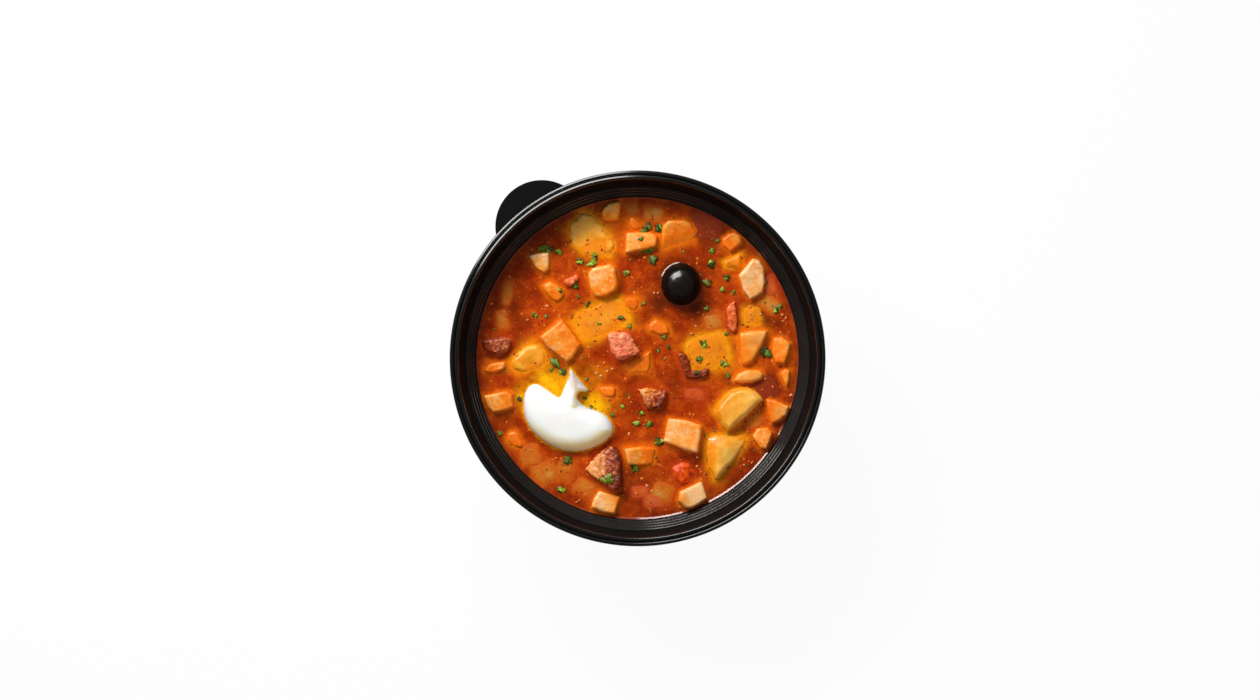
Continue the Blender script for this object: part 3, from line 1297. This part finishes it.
# ---- small things ----
def ground(pieces):
    """A function that gives the height of whatever lies uppermost at a place."""
    trees = []
    for piece in pieces:
        corners = [vertex.co for vertex in piece.data.vertices]
        faces = [polygon.vertices for polygon in piece.data.polygons]
        trees.append(BVHTree.FromPolygons(corners, faces))

    def height(x, y):
        best = -math.inf
        for tree in trees:
            hit = tree.ray_cast(Vector((x, y, 2 * BOWL_HEIGHT)) * MM, Vector((0, 0, -1)))[0]
            if hit is not None:
                best = max(best, hit.z / MM)
        return best

    return height


def leaf(size, seed):
    """A scrap of chopped parsley: a lobed, bent and thin flake, flat side down."""
    sides = LEAF_SIDES
    angle = np.arange(sides) * 2 * np.pi / sides
    ragged = noise(flat(around(angle), seed * 0.37), 0.6, seed)
    reach = size / 2 * (0.8 + 0.2 * np.cos(3 * angle + seed) + 0.4 * ragged)
    x, y = reach * np.cos(angle), reach * np.sin(angle) * 0.75
    crumpled = noise(np.column_stack([x, y, x * 0 + seed]), 1.0, seed)
    lift = 0.10 * size * np.cos(2 * angle + seed) + 0.12 * size * crumpled
    upper = np.column_stack([x * 0.9, y * 0.9, lift + LEAF_THICKNESS])
    lower = np.column_stack([x, y, lift])
    middle = [(0, 0, LEAF_THICKNESS + 0.08 * size), (0, 0, -0.02 * size)]
    faces = fan_faces(2 * sides, 0, sides) + loop_faces(0, sides, sides)
    faces += fan_faces(2 * sides + 1, sides, sides, flip=True)
    shades = np.concatenate([np.full(sides, 0.9), np.full(sides, 0.45), [1.7, 0.5]])
    return np.vstack([upper, lower, middle]), faces, shades


def scrap(size, seed):
    """A small torn shred."""
    arc = np.linspace(0, np.pi, SCRAP_RINGS + 1)
    points, faces = turned(np.stack([np.sin(arc), np.cos(arc)], -1), SCRAP_SIDES)
    points = points * size
    long = max(size)
    lumps = 0.5 * noise(points + 3.3 * seed, 0.55 * long, seed)
    grain = 0.3 * noise(points, 0.25 * long, seed + 1)
    points = points * (1 + (lumps + grain)[:, None])
    points[:, 1] += 0.15 * points[:, 0] ** 2 / long * (1 if seed % 2 else -1)
    return points, faces


class Scatter:
    """Many small bodies collected in one mesh, each with a colour of its own."""

    def __init__(self):
        self.points = []
        self.faces = []
        self.colours = []
        self.count = 0

    def put(self, shape, place, turn, tilt, colour):
        points, faces, *shades = shape
        y, z = rotated(points[:, 1], points[:, 2], tilt)
        x, y = rotated(points[:, 0], y, turn)
        self.points.append(np.column_stack([x, y, z]) + np.array(place))
        self.faces += [tuple(corner + self.count for corner in face) for face in faces]
        self.colours.append(np.outer(shades[0] if shades else np.ones(len(points)), colour))
        self.count += len(points)

    def make(self, name, material):
        mesh = mesh_of(name, np.vstack(self.points), self.faces)
        set_colours(mesh, np.vstack(self.colours))
        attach(new_object(name, mesh, material), "root")


def pick(colours):
    """One of the colours at random, and a little darker or lighter."""
    base = np.array(colours[RNG.integers(len(colours))])
    return base * RNG.uniform(0.8, 1.15)


def open_places(height, count):
    """Random places on the open broth, clear of what stands out of it."""
    found = []
    while len(found) < count:
        radius = OPEN_RADIUS * math.sqrt(RNG.uniform())
        angle = RNG.uniform(0, 2 * math.pi)
        x, y = radius * math.cos(angle), radius * math.sin(angle)
        if height(x, y) < WATERLINE + OPEN_RISE:
            found.append((x, y))
    return found


def put_sprig(herbs, x, y, height, size, seed):
    """A knot of chopped leaf: two to four flakes close together."""
    for part in range(2 + int(size > 2.4) + int(size > 3.4)):
        reach = 0.33 * size if part else 0.0
        at = np.array([x, y]) + RNG.uniform(-reach, reach, 2)
        herbs.put(
            leaf(size * RNG.uniform(0.85, 1.5), seed + part), (*at, height(*at) + 0.08 * part),
            RNG.uniform(0, 6.3), RNG.uniform(-0.5, 0.5), pick(PARSLEY_COLOURS),
        )


def make_parsley(material, height):
    herbs = Scatter()
    for index, (pixel, size) in enumerate(PARSLEY_SEEN):
        put_sprig(herbs, *seen_at(pixel), height, size, 10 * index)
    for index, (x, y) in enumerate(open_places(height, PARSLEY_FLAKES)):
        flake = leaf(RNG.uniform(*FLAKE_SIZE), index + FLAKE_SEED)
        place = (x, y, height(x, y) - RNG.uniform(0.0, 0.15))
        herbs.put(flake, place, RNG.uniform(0, 6.3), RNG.uniform(-0.4, 0.4), pick(PARSLEY_COLOURS))
    herbs.make("parsley", material)


def make_scraps(material, height):
    scraps = Scatter()
    for index, pixel in enumerate(SCRAPS_SEEN):
        x, y = seen_at(pixel)
        size = RNG.uniform(*SCRAP_SIZE) * SCRAP_SHAPE
        place = (x, y, height(x, y) + 0.05)
        scraps.put(scrap(size, index), place, RNG.uniform(0, 6.3), 0.2, pick(PALE))
    for index, (x, y) in enumerate(open_places(height, PULP_SHREDS)):
        size = RNG.uniform(*SHRED_SIZE) * SHRED_SHAPE
        place = (x, y, height(x, y))
        scraps.put(scrap(size, index), place, RNG.uniform(0, 6.3), RNG.uniform(-0.2, 0.2), pick(PULP))
    for index, (x, y) in enumerate(open_places(height, FINE_SPECKS)):
        size = RNG.uniform(*SPECK_SIZE) * SPECK_SHAPE
        colour = pick(PALE if index % 4 == 0 else SPECKS)
        scraps.put(scrap(size, index), (x, y, height(x, y)), RNG.uniform(0, 6.3), 0.0, colour)
    scraps.make("scraps", material)


# ---- the studio ----
def make_floor():
    graph = Graph("floor")
    white = graph.principled(Base_Color=(0.93, 0.93, 0.93), Roughness=0.9)
    glow = graph.add("ShaderNodeEmission", {"Color": (1, 1, 1, 1), "Strength": 1.0}).outputs[0]
    both = graph.add("ShaderNodeMixShader", {0: FLOOR_GLOW, 1: white, 2: glow}).outputs[0]
    material = graph.finish(both)
    corners = [(x * FLOOR_HALF, y * FLOOR_HALF, 0) for x, y in ((-1, -1), (1, -1), (1, 1), (-1, 1))]
    floor = new_object("floor", mesh_of("floor", corners, [(0, 1, 2, 3)]), material)


def make_lamp(name, azimuth, elevation, size, watts, mirrored):
    """A rectangular lamp that faces the middle of the soup."""
    lamp = bpy.data.lights.new(name, "AREA")
    lamp.shape = "RECTANGLE"
    lamp.size, lamp.size_y = (side * MM for side in size)
    lamp.energy = watts
    lamp.color = LAMP_COLOUR
    holder = bpy.data.objects.new(name, lamp)
    bpy.context.scene.collection.objects.link(holder)
    a, e = math.radians(azimuth), math.radians(elevation)
    away = Vector((math.cos(a) * math.cos(e), math.sin(a) * math.cos(e), math.sin(e)))
    target = Vector((0, 0, WATERLINE * MM))
    holder.location = target + away * LAMP_DISTANCE * MM
    holder.rotation_euler = away.to_track_quat("Z", "Y").to_euler()
    holder.visible_glossy = mirrored


def make_sky():
    """A soft sky, lighter on the key light's side."""
    world = bpy.data.worlds.new("studio")
    world.use_nodes = True
    tree = world.node_tree
    direction = tree.nodes.new("ShaderNodeTexCoord").outputs["Generated"]
    aside = tree.nodes.new("ShaderNodeVectorMath")
    aside.operation = "DOT_PRODUCT"
    angle = math.radians(KEY_AZIMUTH)
    aside.inputs[1].default_value = (math.cos(angle), math.sin(angle), SKY_FALL)
    shade = tree.nodes.new("ShaderNodeValToRGB")
    low, high = shade.color_ramp.elements
    low.position, low.color = 0.0, SKY_DARK
    high.position, high.color = 0.7, SKY_LIGHT
    background = tree.nodes["Background"].inputs
    background["Strength"].default_value = SKY_STRENGTH
    tree.links.new(direction, aside.inputs[0])
    tree.links.new(aside.outputs["Value"], shade.inputs[0])
    tree.links.new(shade.outputs[0], background["Color"])
    bpy.context.scene.world = world


def make_studio():
    make_sky()
    for name, look in LAMPS.items():
        make_lamp(name, *look)
    bpy.context.scene.view_settings.view_transform = "Standard"


def make_camera():
    """The photograph's camera, straight above the bowl."""
    camera = bpy.data.cameras.new("camera")
    camera.sensor_width = SENSOR
    camera.lens = SENSOR * PIXELS_PER_RADIAN / PHOTO_WIDTH
    holder = bpy.data.objects.new("camera", camera)
    holder.location = Vector(EYE) * MM
    bpy.context.scene.collection.objects.link(holder)
    bpy.context.scene.camera = holder


materials = {
    "ham": ham_material("ham"),
    "gammon": fibrous_material("gammon"),
    "smoked_meat": fibrous_material("smoked_meat"),
    "sausage": sausage_material(),
    "potato": potato_material("potato"),
    "tomato": tomato_material(),
}
sunk_materials = {
    "ham": ham_material("sunk_ham"),
    "gammon": fibrous_material("sunk_gammon"),
    "smoked_meat": fibrous_material("sunk_smoked_meat"),
    "potato": potato_material("sunk_potato"),
}

make_camera()
make_studio()
make_floor()
make_bowl()
cut_pieces = make_cut_pieces(materials)
cream = make_cream(cream_material())
olive = make_olive(olive_material())
sunk_pieces = make_sunk_pieces(sunk_materials)
sources = stain_sources(cut_pieces, sunk_pieces, cream, olive)
steep_edges = waterline_points(cut_pieces + [cream], 0.5)
broth = make_broth(broth_material("broth", *BROTH_LOOK), steep_edges, sources)
make_collars(broth_material("broth_edge", *CLINGING_LOOK), olive, sources)
top_at = ground(cut_pieces + sunk_pieces + [cream, olive, broth])
make_parsley(parsley_material(), top_at)
make_scraps(bits_material(), top_at)
